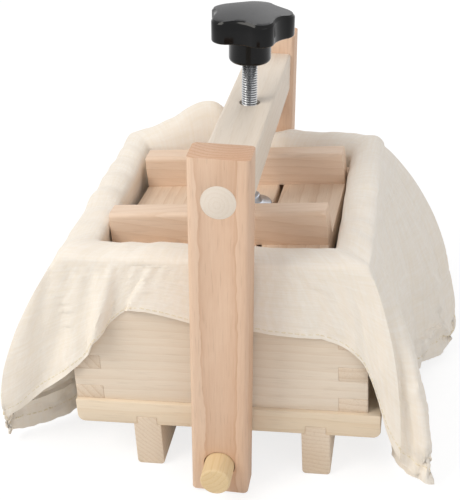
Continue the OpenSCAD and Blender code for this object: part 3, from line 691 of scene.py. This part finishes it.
# the screw's axis leans with the frame. Heights on it are millimetres from the dowel's middle
LEAN = math.radians(3)
screw_axis = Matrix.Translation((2.4 * MM, 0, 17.8 * MM)) @ Matrix.Rotation(LEAN, 4, "Y")
screw_up = screw_axis.to_3x3() @ Vector((0, 0, 1))
BEAM_TOP, ROD_BARE = 157.2, 22.0
KNOB_LOW = BEAM_TOP + ROD_BARE
BALL_AT, BALL_R, NECK_R = 102.81, 3.5, 2.3
THREAD_LOW, THREAD_TOP = BALL_AT + 8.0, KNOB_LOW + 2.0
PITCH, CREST_R, ROOT_R = 1.25, 4.0, 3.3


def turned(name, profile, around=64, place=screw_axis):
    """A lathe-turned shape from (radius, height) pairs in millimetres, in the screw's axes."""
    rings = []
    for radius, height in profile:
        rings.append([place @ (Vector((radius * math.cos(a), radius * math.sin(a), height)) * MM)
            for a in np.arange(around) * 2 * math.pi / around])
    return grid_mesh(name, rings)


# the rod from below: the ball, the neck turned down over it, and the thread's core
ball_steps = [math.pi * step / 14 for step in range(1, 12)]
rod_profile = [(BALL_R * math.sin(a), BALL_AT - BALL_R * math.cos(a)) for a in ball_steps]
rod_profile += [(NECK_R, BALL_AT + 3.2), (NECK_R, THREAD_LOW - 1.2),
    (ROOT_R, THREAD_LOW - 0.1), (ROOT_R, THREAD_TOP)]
rod = link(turned("threaded_rod_core", rod_profile), "threaded_rod_core", bright_zinc,
    "screw")
finish_mesh(rod, 50)

# the thread is painted lighter on its crests and darker down at its root, by distance from the
# screw's axis: painted highlight on the crests, painted shade in the grooves. Its zinc, #E2E3E4,
# is painted lighter than the core's for that highlight
thread_zinc_painted_light = zinc_plate("steel, bright zinc plate, rolled thread", "#E2E3E4", 0.2)
tree = thread_zinc_painted_light.node_tree
shader = tree.nodes["Principled BSDF"]
place = add_node(tree, "ShaderNodeTexCoord").outputs["Object"]
from_axis = add_node(tree, "ShaderNodeVectorMath", {1: screw_axis.translation}, {0: place},
    operation="SUBTRACT").outputs[0]
from_axis = add_node(tree, "ShaderNodeVectorMath", {1: screw_up}, {0: from_axis},
    operation="CROSS_PRODUCT").outputs[0]
radius = add_node(tree, "ShaderNodeVectorMath", links={0: from_axis},
    operation="LENGTH").outputs["Value"]
painted_highlight_share = add_node(tree, "ShaderNodeMapRange",
    {"From Min": (ROOT_R + 0.1) * MM, "From Max": (CREST_R - 0.1) * MM},
    {"Value": radius}).outputs["Result"]
bright = shader.inputs["Base Color"].links[0].from_socket
# painted shade at the root, #4A4B4E, blending out to the painted highlight on the crests
painted_crest_and_root = add_node(tree, "ShaderNodeMix", {"A": linear("#4A4B4E")},
    {"Factor": painted_highlight_share, "B": bright}, data_type="RGBA")
tree.links.new(painted_crest_and_root.outputs["Result"], shader.inputs["Base Color"])

# the thread is a ridge that climbs one pitch a turn round the core. Its section is a square
# that stands on its corner
rolling = bpy.data.node_groups.new("rolled thread", "GeometryNodeTree")
thread_sizes = {named_input(rolling, name, "NodeSocketFloat", value): value
    for name, value in (("Turns", (THREAD_TOP - THREAD_LOW) / PITCH - 0.6), ("Pitch", PITCH * MM),
    ("Core radius", ROOT_R * MM), ("Ridge", (CREST_R - ROOT_R) * MM))}
rolling.interface.new_socket("Thread", in_out="OUTPUT", socket_type="NodeSocketGeometry")
given = add_node(rolling, "NodeGroupInput").outputs
climb = add_node(rolling, "ShaderNodeMath", links={0: given["Turns"], 1: given["Pitch"]},
    operation="MULTIPLY").outputs[0]
spiral = add_node(rolling, "GeometryNodeCurveSpiral", {"Resolution": 32},
    {"Rotations": given["Turns"], "Start Radius": given["Core radius"],
    "End Radius": given["Core radius"], "Height": climb}).outputs[0]
upright_ridge = add_node(rolling, "GeometryNodeSetCurveNormal", links={"Curve": spiral},
    mode="Z_UP").outputs[0]
ridge_shape = add_node(rolling, "GeometryNodeCurvePrimitiveCircle", {"Resolution": 4},
    {"Radius": given["Ridge"]}).outputs[0]
ridge = add_node(rolling, "GeometryNodeCurveToMesh", {"Fill Caps": True},
    {"Curve": upright_ridge, "Profile Curve": ridge_shape}).outputs[0]
ridge = add_node(rolling, "GeometryNodeRealizeInstances", links={0: ridge}).outputs[0]
ridge = add_node(rolling, "GeometryNodeSetMaterial", {"Material": thread_zinc_painted_light},
    {"Geometry": ridge}).outputs[0]
add_node(rolling, "NodeGroupOutput", links={0: ridge})
thread = bpy.data.objects.new("rolled_thread", bpy.data.meshes.new("rolled_thread"))
bpy.context.scene.collection.objects.link(thread)
grow(thread, rolling, thread_sizes)
thread.data.transform(screw_axis @ Matrix.Translation((0, 0, (THREAD_LOW + 0.4) * MM)))
finish_mesh(thread, 30)
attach(thread, "screw")
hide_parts("threaded_rod")

# the knob: five lobes on a round hub, under a dome of 90 mm radius
LOBES, KNOB_R, LOBE_R, HOLLOW_LOW = 5, 21.75, 7.0, 17.3
HUB_H, HEAD_H, HUB_R, HUB_ROUND = 13.0, 13.5, 10.5, 2.2


def star_radius(angle):
    """The knob's outline: round lobes joined by round hollows."""
    step = 2 * math.pi / LOBES
    lobe_at = KNOB_R - LOBE_R
    span = lobe_at * math.cos(step / 2)
    hollow = lobe_at**2 + HOLLOW_LOW**2 - 2 * HOLLOW_LOW * span - LOBE_R**2
    hollow = hollow / (2 * (LOBE_R - HOLLOW_LOW + span))
    hollow_at = HOLLOW_LOW + hollow
    off = (angle + step / 2) % step - step / 2
    centre = Vector((lobe_at, 0))
    other = Vector((hollow_at * math.cos(step / 2), hollow_at * math.sin(step / 2)))
    touch = centre + (other - centre) * (LOBE_R / (LOBE_R + hollow))
    if abs(off) < math.atan2(touch.y, touch.x):
        bow = math.sqrt(max(LOBE_R**2 - (lobe_at * math.sin(off)) ** 2, 0))
        return lobe_at * math.cos(off) + bow
    off = step / 2 - abs(off)
    bow = math.sqrt(max(hollow**2 - (hollow_at * math.sin(off)) ** 2, 0))
    return hollow_at * math.cos(off) - bow


def dome_height(radius, dome, top):
    return top - dome + np.sqrt(dome**2 - radius**2)


def knob_rings():
    """Rings of points from under the hub, up its side and out, to the middle of the dome."""
    around = 240
    turn = math.radians(9)
    angles = np.arange(around) * 2 * math.pi / around
    star = np.array([star_radius(a - turn) for a in angles])
    dome = 90.0
    top = HUB_H + HEAD_H
    rings = []

    def ring(radii, heights):
        heights = np.broadcast_to(heights, (around,))
        rings.append([screw_axis @ (Vector((r * math.cos(a), r * math.sin(a), KNOB_LOW + z)) * MM)
            for r, z, a in zip(radii, heights, angles)])

    even = np.ones(around)
    ring(even * 4.2, 0.3)
    for i in range(6):
        a = math.pi / 2 * i / 5
        ring(even * (HUB_R - HUB_ROUND + HUB_ROUND * math.sin(a)),
            HUB_ROUND - HUB_ROUND * math.cos(a))
    # a hollow fillet from the hub to the head, the head's lower edge and its rounded upper edge
    ring(even * HUB_R, HUB_H - 1.4)
    ring(even * (HUB_R + 0.4), HUB_H - 0.4)
    ring(even * (HUB_R + 1.3), HUB_H)
    for i in range(5):
        a = math.pi / 2 * i / 4
        ring(star - 1.0 + 1.0 * math.sin(a), HUB_H + 1.0 - 1.0 * math.cos(a))
    edge = dome_height(star, dome, top)
    ring(star, edge - 1.3)
    ring(star - 0.12, edge - 0.95)
    ring(star - 0.75, edge - 0.32)
    ring(star - 1.05, dome_height(star - 1.05, dome, top) - 0.02)
    for share in (0.9, 0.75, 0.6, 0.45, 0.3, 0.15):
        ring((star - 1.05) * share, dome_height((star - 1.05) * share, dome, top))
    ring(even * 0.05, top)
    return rings


def moulded_plastic(name, colour, roughness, gloss, relief):
    """Black phenolic, compression moulded in a steel mould: deep black where the mould was
    polished, and a little greyer where it was blasted, which is the knob's domed top. That grey is
    partly the blasted finish and partly painted light on the top, which faces the lamps. The
    blasted grain is 0.1 mm in the real mould, and drawn at 0.7 mm."""
    material, tree, shader = surface(name, IOR=1.5, Roughness=roughness, Specular_IOR_Level=gloss)
    place = add_node(tree, "ShaderNodeTexCoord").outputs["Object"]
    grain = add_node(tree, "ShaderNodeTexNoise", {"Scale": 1 / (0.7 * MM), "Detail": 2.0},
        {"Vector": place}).outputs["Fac"]
    rough = add_node(tree, "ShaderNodeMapRange",
        {"From Min": 0.3, "From Max": 0.7, "To Min": roughness * 0.9,
        "To Max": roughness * 1.1}, {"Value": grain}).outputs["Result"]
    tree.links.new(rough, shader.inputs["Roughness"])
    bump = add_node(tree, "ShaderNodeBump", {"Distance": 0.1 * MM, "Strength": relief},
        {"Height": grain})
    tree.links.new(bump.outputs["Normal"], shader.inputs["Normal"])
    tone = add_node(tree, "ShaderNodeValToRGB", links={"Fac": grain},
        stops=[(0.3, darker(colour, 0.85)), (0.7, linear(colour))])
    tree.links.new(tone.outputs["Color"], shader.inputs["Base Color"])
    return material


polished = moulded_plastic("phenolic, moulded, polished sides", "#0B0B0C", 0.14, 0.22, 0.02)
# the top's colour, #242426 against #0B0B0C on the sides, is partly its blasted finish and partly
# painted light on the upward-facing top
satin = moulded_plastic("phenolic, moulded, satin top", "#242426", 0.42, 0.5, 0.25)
knob = link(grid_mesh("star_knob_moulded", knob_rings()), "star_knob_moulded", polished,
    "screw")
knob.data.materials.append(satin)
for polygon in knob.data.polygons:
    lies_flat = polygon.normal.dot(screw_up) > 0.93
    height = (screw_axis.inverted() @ polygon.center).z
    polygon.material_index = int(lies_flat and height > (KNOB_LOW + HUB_H + 5) * MM)
finish_mesh(knob, 50)
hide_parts("star_knob")

# the foot is turned steel, and its collar is closed over the rod's ball
PLATE_TILT, PLATE_TURN = math.radians(3.4), math.radians(-2.2)
plate_turned = Matrix.Rotation(PLATE_TURN, 4, "Z") @ Matrix.Rotation(-PLATE_TILT, 4, "Y")
plate_up = plate_turned @ Vector((0, 0, 1))
FOOT_RIM, SEAT = 2.6, 1.0
BALL_HIGH = FOOT_RIM + BALL_R - SEAT  # the ball's middle over the foot's underside
ball = screw_axis @ Vector((0, 0, BALL_AT * MM))
foot_place = Matrix.Translation(ball - plate_up * BALL_HIGH * MM) @ plate_turned
foot_profile = [(0.01, 0), (11.3, 0), (11.75, 0.2), (12, 0.7), (12, 1.9), (11.75, 2.4),
    (11.3, FOOT_RIM), (8.2, 3.2), (7.1, 3.8), (6.6, 4.8), (6.5, 6.6), (6.2, 7.3), (5.7, 7.6),
    (4.2, 7.6), (3.4, 6.6), (2.6, 5.6), (0.01, 5.4)]
satin_steel = zinc_plate("steel, turned and dulled", "#B4BAC2", 0.34)
foot = link(turned("swivel_foot_turned", foot_profile, 72, foot_place), "swivel_foot_turned",
    satin_steel, "foot")
finish_mesh(foot, 30)
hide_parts("swivel_foot")

# ---- Press plate ------------------------------------------------------------------------
# Three alder boards with drain gaps, screwed from below to two bevelled battens. It lies
# tilted and a little turned on what it presses.
board_timber = timber("alder, plate board", "#EDD8C2", "#D3B395", "y", (12, 0, 60), 3.6, 0.4, 0.12)
batten_timber = timber("alder, batten", "#EDD5BF", "#D8B799", "x", (0, 10, 90), 3.2, 0.35, 0.1)
for name in ("left_board", "centre_board", "right_board"):
    eased(name, "plate", board_timber, 0.4)
for name in ("front_batten", "back_batten"):
    eased(name, "plate", batten_timber, 0.4)

# ---- Floor, lights and camera -----------------------------------------------------------
# A white card floor under a soft key light from the upper left. The floor is white to the
# camera and in reflections, and still takes the press's shadow.


def seen_directly(tree):
    """1 for rays from the camera and for mirrored or refracted ones, 0 for the rest."""
    path = add_node(tree, "ShaderNodeLightPath").outputs
    first = add_node(tree, "ShaderNodeMath", links={0: path["Is Camera Ray"],
        1: path["Is Glossy Ray"]}, operation="MAXIMUM").outputs[0]
    return add_node(tree, "ShaderNodeMath", links={0: first, 1: path["Is Transmission Ray"]},
        operation="MAXIMUM").outputs[0]


floor_mesh = bpy.data.meshes.new("floor")
floor_mesh.from_pydata([(-4, -4, 0), (4, -4, 0), (4, 4, 0), (-4, 4, 0)], [], [(0, 1, 2, 3)])
floor = bpy.data.objects.new("floor", floor_mesh)
bpy.context.scene.collection.objects.link(floor)
floor_material, tree, shader = surface("floor, white card", Roughness=0.9, Specular_IOR_Level=0.0)
shader.inputs["Base Color"].default_value = linear("#E6E4E0")
lit = add_node(tree, "ShaderNodeBsdfDiffuse", {"Color": grey(0.30)}).outputs["BSDF"]
glow = add_node(tree, "ShaderNodeEmission",
    {"Color": grey(0.78), "Strength": 1.0}).outputs["Emission"]
white = add_node(tree, "ShaderNodeAddShader", links={0: lit, 1: glow}).outputs["Shader"]
mixed = add_node(tree, "ShaderNodeMixShader",
    links={"Fac": seen_directly(tree), 1: shader.outputs["BSDF"], 2: white})
tree.links.new(mixed.outputs["Shader"], tree.nodes["Material Output"].inputs["Surface"])
floor_mesh.materials.append(floor_material)

world = bpy.data.worlds.new("studio")
world.use_nodes = True
bpy.context.scene.world = world
tree = world.node_tree
soft = tree.nodes["Background"]
soft.inputs["Color"].default_value = linear("#F6F7FA")
soft.inputs["Strength"].default_value = 0.62
clear = add_node(tree, "ShaderNodeBackground", {"Color": grey(1.0), "Strength": 1.0})
both = add_node(tree, "ShaderNodeMixShader",
    links={"Fac": seen_directly(tree), 1: soft.outputs[0], 2: clear.outputs[0]})
tree.links.new(both.outputs[0], tree.nodes["World Output"].inputs["Surface"])


def lamp(name, place, size, power, colour):
    """A soft square light that looks at the press."""
    data = bpy.data.lights.new(name, "AREA")
    data.shape = "SQUARE"
    data.size = size
    data.energy = power
    data.color = linear(colour)[:3]
    obj = bpy.data.objects.new(name, data)
    bpy.context.scene.collection.objects.link(obj)
    obj.location = place
    obj.rotation_euler = (Vector((0, 0, 0.09)) - Vector(place)).to_track_quat("-Z", "Y").to_euler()


lamp("key", (-0.85, -0.75, 1.2), 0.8, 12.0, "#FFFBF4")
lamp("fill", (0.9, -0.9, 0.7), 0.9, 2.4, "#F8FAFF")
lamp("back", (0.3, 1.1, 1.0), 0.8, 2.6, "#FFFFFF")

# the photograph's own viewpoint, from a fit to about 60 of its points
YAW, PITCH_DOWN, ROLL = 0.1914, 0.4939, -0.0592
forward = Vector((-math.sin(YAW) * math.cos(PITCH_DOWN), math.cos(YAW) * math.cos(PITCH_DOWN),
    -math.sin(PITCH_DOWN)))
level = Vector((math.cos(YAW), math.sin(YAW), 0))
upward = level.cross(forward)
right = level * math.cos(ROLL) + upward * math.sin(ROLL)
above = upward * math.cos(ROLL) - level * math.sin(ROLL)
lens = bpy.data.cameras.new("camera")
lens.lens = 80.23
lens.sensor_width = 36.0
lens.shift_x, lens.shift_y = 0.0045, -0.0041
camera = bpy.data.objects.new("camera", lens)
bpy.context.scene.collection.objects.link(camera)
turned_to = Matrix((right, above, -forward)).transposed().to_4x4()
camera.matrix_world = Matrix.Translation((0.09649, -0.52369, 0.37761)) @ turned_to
bpy.context.scene.camera = camera
bpy.context.scene.view_settings.view_transform = "Standard"
